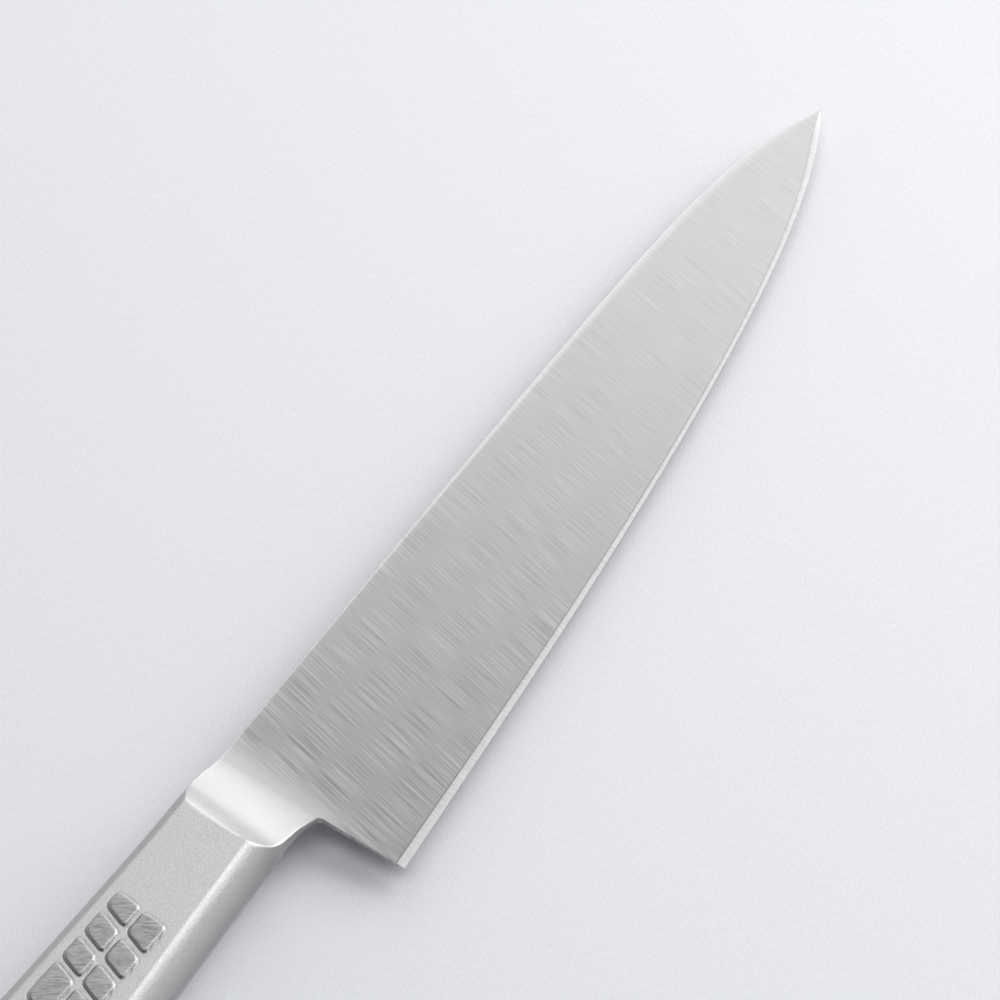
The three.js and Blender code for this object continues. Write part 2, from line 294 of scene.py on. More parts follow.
# closes two grids of points, the outside and the inside of a weld, into one piece
def closedBead(name, outer, inner):
    rows, wide = outer.shape[:2]
    points = np.concatenate([outer.reshape(-1, 3), inner.reshape(-1, 3)])
    start = rows * wide
    faces = gridQuads(rows, wide) + gridQuads(rows, wide, start)
    rim = list(range(wide))
    rim += [row * wide + wide - 1 for row in range(1, rows)]
    rim += [(rows - 1) * wide + k for k in reversed(range(wide - 1))]
    rim += [row * wide for row in reversed(range(1, rows - 1))]
    faces += [(a, b, start + b, start + a) for a, b in zip(rim, rim[1:] + rim[:1])]
    return makePiece(name, points, faces)


def mirroredPiece(piece, name):
    mesh = piece.data.copy()
    middle = Matrix.Translation((0, 0, 2 * knifeShift.z)) @ Matrix.Diagonal((1, 1, -1, 1))
    mesh.transform(middle)
    mesh.flip_normals()
    mesh.name = name
    twin = bpy.data.objects.new(name, mesh)
    scene.collection.objects.link(twin)
    return twin


def dress(piece, node, slot, *materials):
    for material in materials:
        if material.name not in piece.data.materials:
            piece.data.materials.append(material)
    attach(piece, "root")
    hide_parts(node)


# one node with its settings, and its sockets filled by links or plain values
def addNode(tree, kind, sockets=None, **settings):
    made = tree.nodes.new(kind)
    for key, value in settings.items():
        setattr(made, key, value)
    for socket, source in (sockets or {}).items():
        if isinstance(source, bpy.types.NodeSocket):
            tree.links.new(source, made.inputs[socket])
        else:
            made.inputs[socket].default_value = source
    return made


# sRGB code to linear light
def hexColour(text):
    channels = [int(text[i:i + 2], 16) / 255 for i in (1, 3, 5)]
    return [c / 12.92 if c <= 0.04045 else ((c + 0.055) / 1.055) ** 2.4 for c in channels] + [1.0]


def newMaterial(name):
    material = bpy.data.materials.new(name)
    material.use_nodes = True
    tree = material.node_tree
    spot = addNode(tree, "ShaderNodeTexCoord").outputs
    return material, tree, tree.nodes["Principled BSDF"], spot


# both ends of the values that a map range takes in
def spanFrom(pair, scale=1.0, shift=0.0):
    return {"From Min": pair[0] * scale + shift, "From Max": pair[1] * scale + shift}


noiseSpread = spanFrom((0.3, 0.7))      # most of a noise's values lie between these


# drawn-out noise: marks with these sizes along x and y, in millimetres, after a turn about z
def drawnMarks(tree, place, turn, sizeX, sizeY, detail=2.0, distortion=0.0):
    turned = addNode(tree, "ShaderNodeMapping", {"Vector": place, "Rotation": (0, 0, turn)})
    laid = addNode(tree, "ShaderNodeMapping", {
        "Vector": turned.outputs["Vector"],
        "Scale": (1 / (sizeX * mm), 1 / (sizeY * mm), 0),
    })
    return addNode(tree, "ShaderNodeTexNoise", {
        "Vector": laid.outputs["Vector"], "Scale": 1.0, "Detail": detail, "Distortion": distortion,
    }, noise_dimensions="2D").outputs["Fac"]


# every steel ends alike: colour, roughness and bump on a metal shader
def finishSteel(tree, shader, colour, rough, bump):
    tree.links.new(colour, shader.inputs["Base Color"])
    tree.links.new(rough, shader.inputs["Roughness"])
    tree.links.new(bump.outputs["Normal"], shader.inputs["Normal"])
    shader.inputs["Metallic"].default_value = 1.0


# ground stainless steel: a fine belt run across the blade leaves close streaks that scatter light
# along the blade, so it looks satin, with no clear reflection
groundSteel = {
    "pale": "#CFCFD0",
    "dark": "#B4B4B5",
    "roughness": (0.31, 0.37),
    "streakWidth": 0.13,    # grit marks are about 0.05 mm; drawn coarser to show
    "streakLength": 8.0,
    "streakFade": 0.32,     # how strong the marks still are at the tip
    "streakLean": math.radians(13),
    "bump": 0.05,
    "buffed": "#CCCCCC",    # the last millimetres beside the neck are buffed with the weld
    "buffedRoughness": 0.37,
    "buffedBetween": (-0.3, 5.0),
    "buffedBelow": (-24.0, -16.0),
}


def groundBladeSteel():
    material, tree, shader, spot = newMaterial("stainless_steel_belt_ground")
    width, length = groundSteel["streakWidth"], groundSteel["streakLength"]
    streaks = drawnMarks(tree, spot["Object"], groundSteel["streakLean"], width, length, detail=0.0)
    tone = addNode(tree, "ShaderNodeMapRange", {"Value": streaks, **noiseSpread})
    along = addNode(tree, "ShaderNodeSeparateXYZ", {"Vector": spot["Object"]})
    left = addNode(tree, "ShaderNodeMapRange", {
        "Value": along.outputs["X"],
        **spanFrom((0, bladeForm["length"]), mm, knifeShift.x),
        "To Min": 1.0,
        "To Max": 0.0,
    })
    squared = addNode(tree, "ShaderNodeMath", {0: left.outputs["Result"], 1: 2.0}, operation="POWER")
    strong = addNode(tree, "ShaderNodeMapRange", {
        "Value": squared.outputs[0], "To Min": groundSteel["streakFade"], "To Max": 1.0,
    })
    marks = addNode(tree, "ShaderNodeMix", {     # weak marks draw in to the middle tone
        0: strong.outputs["Result"], 2: 0.5, 3: tone.outputs["Result"],
    })
    ground = addNode(tree, "ShaderNodeMix", {
        "Factor": marks.outputs[0],
        6: hexColour(groundSteel["dark"]),
        7: hexColour(groundSteel["pale"]),
    }, data_type="RGBA")
    groundRough = addNode(tree, "ShaderNodeMix", {
        0: marks.outputs[0], 2: groundSteel["roughness"][0], 3: groundSteel["roughness"][1],
    })
    beside = addNode(tree, "ShaderNodeMapRange", {
        "Value": along.outputs["X"],
        **spanFrom(groundSteel["buffedBetween"], mm, knifeShift.x),
        "To Min": 1.0,
        "To Max": 0.0,
    }, interpolation_type="SMOOTHSTEP")
    buffed = addNode(tree, "ShaderNodeMapRange", {
        "Value": along.outputs["Y"],
        **spanFrom(groundSteel["buffedBelow"], mm, knifeShift.y),
        "To Max": beside.outputs["Result"],
    }, interpolation_type="SMOOTHSTEP").outputs["Result"]
    colour = addNode(tree, "ShaderNodeMix", {
        "Factor": buffed, 6: ground.outputs[2], 7: hexColour(groundSteel["buffed"]),
    }, data_type="RGBA")
    rough = addNode(tree, "ShaderNodeMix", {
        0: buffed, 2: groundRough.outputs[0], 3: groundSteel["buffedRoughness"],
    })
    bump = addNode(tree, "ShaderNodeBump", {
        "Strength": groundSteel["bump"], "Distance": width * mm, "Height": streaks,
    })
    finishSteel(tree, shader, colour.outputs[2], rough.outputs[0], bump)
    return material


# the bevel comes off a finer wheel: brighter, with short marks straight across the edge
honedEdge = {
    "pale": "#CECECE",
    "dark": "#B4B4B4",
    "roughness": (0.50, 0.60),
    "markWidth": 0.16,      # real marks are finer; drawn coarser to show
    "markLength": 2.0,
    "bump": 0.06,
    "arris": "#6C6C6C",     # painted shade: a thin dark line where the bevel meets the flat side
}


def honedBevelSteel():
    material, tree, shader, spot = newMaterial("stainless_steel_honed_edge")
    width, length = honedEdge["markWidth"], honedEdge["markLength"]
    marks = drawnMarks(tree, spot["Object"], 0, width, length)
    tone = addNode(tree, "ShaderNodeMapRange", {"Value": marks, **noiseSpread})
    honed = addNode(tree, "ShaderNodeMix", {
        "Factor": tone.outputs["Result"],
        6: hexColour(honedEdge["dark"]),
        7: hexColour(honedEdge["pale"]),
    }, data_type="RGBA")
    # painted shade along the bevel's shoulder
    arris = addNode(tree, "ShaderNodeAttribute", attribute_name="arris").outputs["Fac"]
    colour = addNode(tree, "ShaderNodeMix", {
        "Factor": arris, 6: honed.outputs[2], 7: hexColour(honedEdge["arris"]),
    }, data_type="RGBA")
    rough = addNode(tree, "ShaderNodeMapRange", {
        "Value": marks, **noiseSpread,
        "To Min": honedEdge["roughness"][0], "To Max": honedEdge["roughness"][1],
    })
    bump = addNode(tree, "ShaderNodeBump", {
        "Strength": honedEdge["bump"], "Distance": width * mm, "Height": marks,
    })
    finishSteel(tree, shader, colour.outputs[2], rough.outputs["Result"], bump)
    return material


# pressed stainless sheet with a fine blasted satin: even and matt, with a faint grain;
# the neck is buffed smoother, and the pad tops are rubbed smooth with stray scratches;
# painted shade darkens the pad tops, the pad roots, and the walls by the seams and along the back
pressedSheet = {
    "pale": "#D7D7D7",
    "dark": "#BFBFBF",
    "grain": 0.26,          # blasted pits are about 0.05 mm; drawn coarser to show
    "bump": 0.25,
    "flatRoughness": 0.49,
    "neckRoughness": 0.38,
    "padRoughness": 0.36,
    "neckBetween": (-10.2, -6.2),
    "neckColour": "#D2D2D2",
    "paintedWallShade": "#ADADAD",    # painted shade: walls darker beside the seams, where the shadowed floor lies close under them
    "wallBetween": (0.3, 5.0),
    "backWallFrom": (0.25, 0.6),    # how far it faces the back, where the painted shade covers the whole wall
    "neckBump": 0.05,
    "scratchWidth": 0.25,
    "scratchLength": 1.8,
    "scratchLean": math.radians(-35),
    "scratchSpread": (0.35, 0.65),
    # pad tops: scratch tones, kept dark as painted shade
    "padDark": "#9C9C9C",
    "padPale": "#B2B2B2",
    # painted shade in the root round each pad
    "paintedRootShade": "#909090",
}


def pressedShellSteel():
    material, tree, shader, spot = newMaterial("stainless_steel_pressed_blasted")
    place = spot["Object"]
    grain = addNode(tree, "ShaderNodeTexNoise", {
        "Vector": place, "Scale": 1 / (pressedSheet["grain"] * mm), "Detail": 3.0, "Roughness": 0.65,
    })
    tone = addNode(tree, "ShaderNodeMapRange", {"Value": grain.outputs["Fac"], **noiseSpread})
    sheet = addNode(tree, "ShaderNodeMix", {
        "Factor": tone.outputs["Result"],
        6: hexColour(pressedSheet["dark"]),
        7: hexColour(pressedSheet["pale"]),
    }, data_type="RGBA")
    padTop = addNode(tree, "ShaderNodeAttribute", attribute_name="padTop").outputs["Fac"]
    width, length = pressedSheet["scratchWidth"], pressedSheet["scratchLength"]
    scratches = drawnMarks(tree, place, pressedSheet["scratchLean"], width, length, distortion=0.6)
    scratched = addNode(tree, "ShaderNodeMapRange", {
        "Value": scratches, **spanFrom(pressedSheet["scratchSpread"]),
    })
    # the pad tops' scratches are their own; their darker tone is painted shade
    rubbed = addNode(tree, "ShaderNodeMix", {
        "Factor": scratched.outputs["Result"],
        6: hexColour(pressedSheet["padDark"]),
        7: hexColour(pressedSheet["padPale"]),
    }, data_type="RGBA")
    along = addNode(tree, "ShaderNodeSeparateXYZ", {"Vector": place})
    inNeck = addNode(tree, "ShaderNodeMapRange", {
        "Value": along.outputs["X"],
        **spanFrom(pressedSheet["neckBetween"], mm, knifeShift.x),
    }, interpolation_type="SMOOTHSTEP").outputs["Result"]
    level = addNode(tree, "ShaderNodeMath", {
        0: along.outputs["Z"], 1: knifeShift.z,
    }, operation="SUBTRACT")
    height = addNode(tree, "ShaderNodeMath", {0: level.outputs[0]}, operation="ABSOLUTE")
    # painted shade: the walls darken towards the seams, and all over where they face the back
    upWall = addNode(tree, "ShaderNodeMapRange", {
        "Value": height.outputs[0], **spanFrom(pressedSheet["wallBetween"], mm),
    })
    facing = addNode(tree, "ShaderNodeSeparateXYZ", {"Vector": spot["Normal"]})
    plain = addNode(tree, "ShaderNodeMapRange", {
        "Value": facing.outputs["Y"],
        **spanFrom(pressedSheet["backWallFrom"]),
        "To Min": upWall.outputs["Result"],
        "To Max": 0.0,
    })
    skin = addNode(tree, "ShaderNodeMix", {
        "Factor": plain.outputs["Result"],
        6: hexColour(pressedSheet["paintedWallShade"]),
        7: sheet.outputs[2],
    }, data_type="RGBA")
    body = addNode(tree, "ShaderNodeMix", {
        "Factor": inNeck, 6: skin.outputs[2], 7: hexColour(pressedSheet["neckColour"]),
    }, data_type="RGBA")
    beforeRootShade = addNode(tree, "ShaderNodeMix", {
        "Factor": padTop, 6: body.outputs[2], 7: rubbed.outputs[2],
    }, data_type="RGBA")
    # painted shade along the pad roots
    padRoot = addNode(tree, "ShaderNodeAttribute", attribute_name="padRoot").outputs["Fac"]
    colour = addNode(tree, "ShaderNodeMix", {
        "Factor": padRoot, 6: beforeRootShade.outputs[2], 7: hexColour(pressedSheet["paintedRootShade"]),
    }, data_type="RGBA")
    bodyRough = addNode(tree, "ShaderNodeMix", {
        0: inNeck, 2: pressedSheet["flatRoughness"], 3: pressedSheet["neckRoughness"],
    })
    rough = addNode(tree, "ShaderNodeMix", {
        0: padTop, 2: bodyRough.outputs[0], 3: pressedSheet["padRoughness"],
    })
    depth = addNode(tree, "ShaderNodeMix", {
        0: inNeck, 2: pressedSheet["bump"], 3: pressedSheet["neckBump"],
    })
    texture = addNode(tree, "ShaderNodeMix", {
        0: padTop, 2: grain.outputs["Fac"], 3: scratches,
    })
    bump = addNode(tree, "ShaderNodeBump", {
        "Strength": depth.outputs[0],
        "Distance": pressedSheet["grain"] * mm,
        "Height": texture.outputs[0],
    })
    finishSteel(tree, shader, colour.outputs[2], rough.outputs[0], bump)
    return material


# weld steel ground flush and buffed: smoother than the sheet, with a faint grain left by the wheel
buffedWeld = {
    "pale": "#D2D2D2",
    "dark": "#CACACA",
    "grain": 0.25,          # wheel marks are finer; drawn coarser to show
    "roughness": (0.35, 0.41),
    "bump": 0.04,
}


def buffedWeldSteel():
    material, tree, shader, spot = newMaterial("stainless_steel_buffed_weld")
    grain = addNode(tree, "ShaderNodeTexNoise", {
        "Vector": spot["Object"], "Scale": 1 / (buffedWeld["grain"] * mm), "Detail": 2.0,
    })
    tone = addNode(tree, "ShaderNodeMapRange", {"Value": grain.outputs["Fac"], **noiseSpread})
    colour = addNode(tree, "ShaderNodeMix", {
        "Factor": tone.outputs["Result"],
        6: hexColour(buffedWeld["dark"]),
        7: hexColour(buffedWeld["pale"]),
    }, data_type="RGBA")
    rough = addNode(tree, "ShaderNodeMapRange", {
        "Value": grain.outputs["Fac"], **noiseSpread,
        "To Min": buffedWeld["roughness"][0], "To Max": buffedWeld["roughness"][1],
    })
    bump = addNode(tree, "ShaderNodeBump", {
        "Strength": buffedWeld["bump"],
        "Distance": buffedWeld["grain"] * mm,
        "Height": grain.outputs["Fac"],
    })
    finishSteel(tree, shader, colour.outputs[2], rough.outputs["Result"], bump)
    return material


bladeSteel = groundBladeSteel()
edgeSteel = honedBevelSteel()
sheetSteel = pressedShellSteel()
weldSteel = buffedWeldSteel()
print("materials made")

bladeMesh = {
    "stations": 260,
    "tipBunching": 1.5,
    "easeSteps": 8,
    "upperColumns": 14,
    "lowerColumns": 12,
    "tipSplit": 0.5,        # share of the face that the upper columns take at the tip
    "bevelColumns": 6,
    "arrisWidth": 0.28,
    "arrisShare": 0.5,      # of the bevel at most, where it is narrow
    "tipArris": 0.25,       # how strong the painted shade line along the bevel still is at the tip
    "plateSteps": 26,
    "plateSink": 0.02,      # the neck plate lies this far under its welds
    "sinkFrom": -0.45,
    "choilSteps": 12,
    "tipGap": 0.04,
    "sharpAngle": math.radians(4),
    "bevelFacing": 0.8,     # a bevel face looks sideways at least this much
}


# height where the bevel begins on the flat side
def bevelTopY(x):
    edge = edgeY(x)
    slope = math.tan(bladeForm["bevelAngle"]) / np.hypot(1, edgeSlope(x)) - edgeThinning
    full, limit = faceZ(x, edge) / slope, bladeForm["tipShare"] * (spineY(x) - edge)
    blend = bladeForm["tipBlend"]
    return edge + (full ** -blend + limit ** -blend) ** (-1 / blend)


# rounding between the spine and the right-hand face
def easedCorner(x, top, ease, depth, sink=0):
    points = []
    for turn in np.linspace(0, math.pi / 2, bladeMesh["easeSteps"] + 1)[:-1]:
        y = top - ease * (1 - math.cos(turn))
        points.append((x, y, faceZ(x, y) - sink - depth * (1 - math.sin(turn))))
    return points


# right-hand half of a section: eased corner, face above the choil line, face below it, bevel
def bladeHalf(x):
    spine, edge, bevelTop = spineY(x), edgeY(x), bevelTopY(x)
    limit = bladeForm["tipShare"] * (spine - edge)
    along = x / bladeForm["length"]
    ease = min(mixed(bladeForm["heelSpineEase"], bladeForm["tipSpineEase"], along), limit)
    depth = min(ease, faceZ(x, spine)) * mixed(*bladeForm["easeDepth"], along)
    heelTop = choilBottomY() / -bladeForm["heelHeight"]
    split = mixed(spine - ease, bevelTop, mixed(heelTop, bladeMesh["tipSplit"], along))
    if x == 0:
        split = choilBottomY()
    points = easedCorner(x, spine, ease, depth)
    for y in np.linspace(spine - ease, split, bladeMesh["upperColumns"]):
        points.append((x, y, faceZ(x, y)))
    for y in np.linspace(split, bevelTop, bladeMesh["lowerColumns"] + 1)[1:]:
        points.append((x, y, faceZ(x, y)))
    thin = min(bladeMesh["arrisWidth"] / (bevelTop - edge), bladeMesh["arrisShare"])
    for t in (thin / 2, *np.linspace(thin, 1, bladeMesh["bevelColumns"])):
        thinned = 1 - t ** bladeForm["bevelPower"]
        points.append((x, mixed(bevelTop, edge, t), faceZ(x, bevelTop) * thinned))
    return points


def choilBottomY():
    return float(neckBellyY(-bladeForm["choilRadius"])) - bladeForm["choilRadius"]


# right-hand half of the neck plate, with the same upper points as the blade's first section
def plateHalf(x, top, bottom):
    ease = bladeForm["heelSpineEase"]
    depth = min(ease, faceZ(x, top)) * bladeForm["easeDepth"][0]
    sink = bladeMesh["plateSink"] if x < bladeMesh["sinkFrom"] else 0
    points = easedCorner(x, top, ease, depth, sink)
    for y in np.linspace(top - ease, bottom, bladeMesh["upperColumns"]):
        points.append((x, y, faceZ(x, y) - sink))
    return points


def bothSides(half):
    half = np.array(half, float)
    return np.concatenate([half, half[::-1] * (1, 1, -1)])


def ringQuads(rows, columns, first):
    quads = []
    for row in range(rows - 1):
        for column in range(columns):
            after = (column + 1) % columns
            a = first + row * columns
            quads.append((a + column, a + after, a + columns + after, a + columns + column))
    return quads


def buildBlade():
    length = bladeForm["length"]
    bunched = 1 - (1 - np.linspace(0, 1, bladeMesh["stations"])) ** bladeMesh["tipBunching"]
    stations = (length - bladeMesh["tipGap"]) * bunched
    rings = [bothSides(bladeHalf(float(x))) for x in stations]
    columns = len(rings[0])
    points = np.concatenate(rings + [[(length, -bladeForm["tipDrop"], 0)]])
    faces = ringQuads(len(rings), columns, 0)
    last = (len(rings) - 1) * columns
    apex = len(points) - 1
    faces += [(last + k, last + (k + 1) % columns, apex) for k in range(columns)]
    # heel end face, from the choil down to the edge
    upper = bladeMesh["easeSteps"] + bladeMesh["upperColumns"] - 1
    half = columns // 2
    faces += [(k, k + 1, columns - 2 - k, columns - 1 - k) for k in range(upper, half - 1)]

    # neck plate: the choil arc, the run under the shells, then the tang
    plate = []
    radius = bladeForm["choilRadius"]
    for turn in np.linspace(math.pi / 2, 0, bladeMesh["choilSteps"]):
        x = radius * (math.sin(turn) - 1)
        plate.append((x, float(backLine(x)), choilBottomY() + radius * math.cos(turn)))
    for x in np.linspace(-radius, -bladeForm["neckPlateDepth"], bladeMesh["plateSteps"])[1:]:
        inside = handleForm["sheet"] * smoothStep(-x, radius, -handleForm["neckLip"])
        plate.append((x, float(backLine(x)) - inside, float(neckBellyY(x)) + inside))
    for x in (-bladeForm["neckPlateDepth"], -bladeForm["tangLength"]):
        plate.append((x, bladeForm["tangTop"], bladeForm["tangBottom"]))
    plateRings = [bothSides(plateHalf(float(x), top, bottom)) for x, top, bottom in plate]
    first, plateColumns = len(points), len(plateRings[0])
    points = np.concatenate([points] + plateRings)
    faces += ringQuads(len(plateRings), plateColumns, first)
    faces.append(tuple(first + (len(plateRings) - 1) * plateColumns + np.arange(plateColumns)))
    piece = makePiece("ground_blade", points, faces, bladeMesh["sharpAngle"])
    # arris weights the painted shade line along the bevel's shoulder
    arris = piece.data.attributes.new("arris", "FLOAT", "POINT")
    for vertex in piece.data.vertices:
        x, y = (vertex.co.x - knifeShift.x) / mm, (vertex.co.y - knifeShift.y) / mm
        if x >= 0:
            near = max(0, 1 - abs(y - bevelTopY(x)) / bladeMesh["arrisWidth"])
            strength = mixed(1, bladeMesh["tipArris"], x / bladeForm["length"])
            arris.data[vertex.index].value = near * strength
    # bevel faces take the second material
    for face in piece.data.polygons:
        x, y = (face.center.x - knifeShift.x) / mm, (face.center.y - knifeShift.y) / mm
        if x > 0 and abs(face.normal.z) > bladeMesh["bevelFacing"] and y < bevelTopY(x):
            face.material_index = 1
    return piece


blade = buildBlade()
dress(blade, "blade", "blade_steel", bladeSteel, edgeSteel)
print("blade:", len(blade.data.polygons), "faces")

gripPads = {
    "backRowStart": -27.45,
    "bellyRowStart": -28.1,
    "gap": 0.8,
    "rowHeight": 4.3,
    "rowGap": 0.55,
    "rowsMiddle": -8.18,
    "rise": 0.45,
    "flatSlack": 0.08,      # points this far under the flat side still belong to it
    "reach": 1.0,           # rays start this far below the sheet
    "rayLength": 10.0,
    "edgeRound": 0.42,
    "crown": 0.13,          # pad tops are not level: they fall away a little to their edges
    "crownWidth": 1.5,
    "rootDepth": 0.1,
    "rootWidth": 0.22,
    "corner": 1.0,
    "cornerSteps": 6,
    "slant": math.tan(math.radians(19)),
    "frontSlant": math.tan(math.radians(5.5)),
    "backRow": (3.0, 4.05, 4.0, 6.8, 6.8, 6.8, 6.8, 6.8, 6.8, 4.0, 4.05),
    "bellyRow": (4.2, 4.1, 4.0, 5.6, 6.8, 6.8, 6.8, 6.8, 5.6, 4.0, 4.1),
}


# flat outline of one pad with rounded corners, in a row that runs along with the back
def padOutline(frontX, length, topY, frontSlant):
    height = gripPads["rowHeight"]
    corners = [
        Vector((frontX, topY)),
        Vector((frontX - frontSlant * height, topY - height)),
        Vector((frontX - length - gripPads["slant"] * height, topY - height)),
        Vector((frontX - length, topY)),
    ]
    for corner in corners:
        corner.y += float(backLine(corner.x) - backLine(gripPads["backRowStart"]))
    outline = []
    for i, corner in enumerate(corners):
        before = corner + (corners[i - 1] - corner).normalized() * gripPads["corner"]
        after = corner + (corners[(i + 1) % 4] - corner).normalized() * gripPads["corner"]
        for t in np.linspace(0, 1, gripPads["cornerSteps"] + 1):
            outline.append(before * (1 - t) ** 2 + corner * 2 * t * (1 - t) + after * t * t)
    return outline


def padOutlines():
    points, faces = [], []
    upperTop = gripPads["rowsMiddle"] + gripPads["rowGap"] / 2 + gripPads["rowHeight"]
    lowerTop = gripPads["rowsMiddle"] - gripPads["rowGap"] / 2
    for frontX, topY, lengths in (
        (gripPads["backRowStart"], upperTop, gripPads["backRow"]),
        (gripPads["bellyRowStart"], lowerTop, gripPads["bellyRow"]),
    ):
        for i, length in enumerate(lengths):
            slant = gripPads["frontSlant"] if i == 0 else gripPads["slant"]
            outline = padOutline(frontX, length, topY, slant)
            faces.append(tuple(range(len(points), len(points) + len(outline))))
            points += [(p.x, p.y, handleForm["thickness"] / 2) for p in outline]
            frontX -= length + gripPads["gap"]
    mesh = bpy.data.meshes.new("pad_outlines")
    mesh.from_pydata(inRow(points).tolist(), [], faces)
    outlines = bpy.data.objects.new("pad_outlines", mesh)
    scene.collection.objects.link(outlines)
    return outlines


# sizes that the press takes, by the names of its sockets
padSizes = {
    "Rise": "rise", "Edge Round": "edgeRound", "Crown": "crown", "Crown Width": "crownWidth",
    "Root Depth": "rootDepth", "Root Width": "rootWidth", "Reach": "reach",
}


# presses the pads up out of the sheet: height follows the distance in from each pad's outline
def pressTree(material):
    tree = bpy.data.node_groups.new("press_grip_pads", "GeometryNodeTree")
    face = tree.interface
    face.new_socket("Geometry", in_out="INPUT", socket_type="NodeSocketGeometry")
    face.new_socket("Pad Outlines", in_out="INPUT", socket_type="NodeSocketObject")
    for name in ("Flat Level", *padSizes):
        face.new_socket(name, in_out="INPUT", socket_type="NodeSocketFloat")
    face.new_socket("Geometry", in_out="OUTPUT", socket_type="NodeSocketGeometry")
    maths = "ShaderNodeMath"
    given = addNode(tree, "NodeGroupInput").outputs
    place = addNode(tree, "GeometryNodeInputPosition").outputs["Position"]
    height = addNode(tree, "ShaderNodeSeparateXYZ", {"Vector": place}).outputs["Z"]
    onFlat = addNode(tree, "FunctionNodeCompare", {
        0: height, 1: given["Flat Level"],
    }, operation="GREATER_THAN")
    pads = addNode(tree, "GeometryNodeObjectInfo", {"Object": given["Pad Outlines"]}).outputs["Geometry"]
    rim = addNode(tree, "GeometryNodeProximity", {0: pads}, target_element="EDGES")
    below = addNode(tree, "ShaderNodeCombineXYZ", {"Z": given["Reach"]})
    under = addNode(tree, "ShaderNodeVectorMath", {0: place, 1: below.outputs[0]}, operation="SUBTRACT")
    ray = addNode(tree, "GeometryNodeRaycast", {
        0: pads,
        "Source Position": under.outputs[0],
        "Ray Direction": (0, 0, 1),
        "Ray Length": gripPads["rayLength"] * mm,
    })
    inside = addNode(tree, maths, {0: ray.outputs["Is Hit"], 1: onFlat.outputs[0]}, operation="MULTIPLY")
    climbed = addNode(tree, "ShaderNodeMapRange", {
        "Value": rim.outputs["Distance"], "From Min": 0.0, "From Max": given["Edge Round"],
    })
    short = addNode(tree, maths, {0: 1.0, 1: climbed.outputs["Result"]}, operation="SUBTRACT")
    squared = addNode(tree, maths, {0: short.outputs[0], 1: 2.0}, operation="POWER")
    rest = addNode(tree, maths, {0: 1.0, 1: squared.outputs[0]}, operation="SUBTRACT")
    curve = addNode(tree, maths, {0: rest.outputs[0]}, operation="SQRT")
    share = addNode(tree, maths, {0: curve.outputs[0], 1: inside.outputs[0]}, operation="MULTIPLY")
    # a narrow dip runs round the root of each pad, where the sheet is drawn in by the press
    beside = addNode(tree, "ShaderNodeMapRange", {
        "Value": rim.outputs["Distance"], "From Min": 0.0, "From Max": given["Root Width"],
        "To Min": onFlat.outputs[0], "To Max": 0.0,
    })
    root = addNode(tree, maths, {0: beside.outputs["Result"], 1: 2.0}, operation="POWER")
    sunk = addNode(tree, maths, {0: root.outputs[0], 1: inside.outputs[0]}, operation="MAXIMUM")
    dip = addNode(tree, maths, {0: sunk.outputs[0], 1: given["Root Depth"]}, operation="MULTIPLY")
    inward = addNode(tree, "ShaderNodeMapRange", {
        "Value": rim.outputs["Distance"], "From Min": 0.0, "From Max": given["Crown Width"],
        "To Min": inside.outputs[0], "To Max": 0.0,
    })
    fall = addNode(tree, maths, {0: inward.outputs["Result"], 1: 2.0}, operation="POWER")
    fallen = addNode(tree, maths, {0: fall.outputs[0], 1: given["Crown"]}, operation="MULTIPLY")
    travel = addNode(tree, maths, {0: given["Rise"], 1: given["Root Depth"]}, operation="ADD")
    topped = addNode(tree, maths, {0: travel.outputs[0], 1: fallen.outputs[0]}, operation="SUBTRACT")
    raised = addNode(tree, maths, {0: share.outputs[0], 1: topped.outputs[0]}, operation="MULTIPLY")
    lift = addNode(tree, maths, {0: raised.outputs[0], 1: dip.outputs[0]}, operation="SUBTRACT")
    offset = addNode(tree, "ShaderNodeCombineXYZ", {"Z": lift.outputs[0]})
    topMask = addNode(tree, maths, {
        0: climbed.outputs["Result"], 1: inside.outputs[0],
    }, operation="MULTIPLY")
    # padRoot also marks where the shell's colour takes painted shade round each pad
    marked = given["Geometry"]
    for name, mask in (("padTop", topMask), ("padRoot", root)):
        marked = addNode(tree, "GeometryNodeStoreNamedAttribute", {
            "Geometry": marked, "Name": name, "Value": mask.outputs[0],
        }, data_type="FLOAT", domain="POINT").outputs[0]
    pressed = addNode(tree, "GeometryNodeSetPosition", {"Geometry": marked, "Offset": offset.outputs[0]})
    real = addNode(tree, "GeometryNodeRealizeInstances", {"Geometry": pressed.outputs[0]})
    coated = addNode(tree, "GeometryNodeSetMaterial", {"Geometry": real.outputs[0], "Material": material})
    addNode(tree, "NodeGroupOutput", {0: coated.outputs[0]})
    return tree


shellMesh = {
    "neckEnd": -15.6,
    "neckStep": 0.25,
    "plainStep": 0.8,
    "padStep": 0.14,
    "padZone": (-24.5, -97.0),
    "shearRamp": 8.0,
    "buttSteps": 26,
    "capSteps": 5,
    "wallColumns": 8,
    "cornerColumns": 8,
    "flatColumns": 80,
    "innerColumns": 5,
}
outerColumns = [shellMesh[part] for part in ("wallColumns", "cornerColumns", "flatColumns")]


def steps(start, end, step):
    return np.linspace(start, end, max(2, round(abs(end - start) / step)) + 1)[:-1]


# stations along the shell; beside the pads they lean over with the pads' slanted ends
def shellStations():
    neckEnd = shellMesh["neckEnd"]
    roundStart = handleForm["buttRounding"] - handleForm["length"]
    padStart, padEnd = shellMesh["padZone"]
    turn = np.linspace(0, math.pi / 2, shellMesh["buttSteps"])
    return np.concatenate([
        steps(handleForm["neckLip"], neckEnd, shellMesh["neckStep"]),
        steps(neckEnd, padStart, shellMesh["plainStep"]),
        steps(padStart, padEnd, shellMesh["padStep"]),
        steps(padEnd, roundStart, shellMesh["plainStep"]),
        roundStart - handleForm["buttRounding"] * np.sin(turn),
    ])


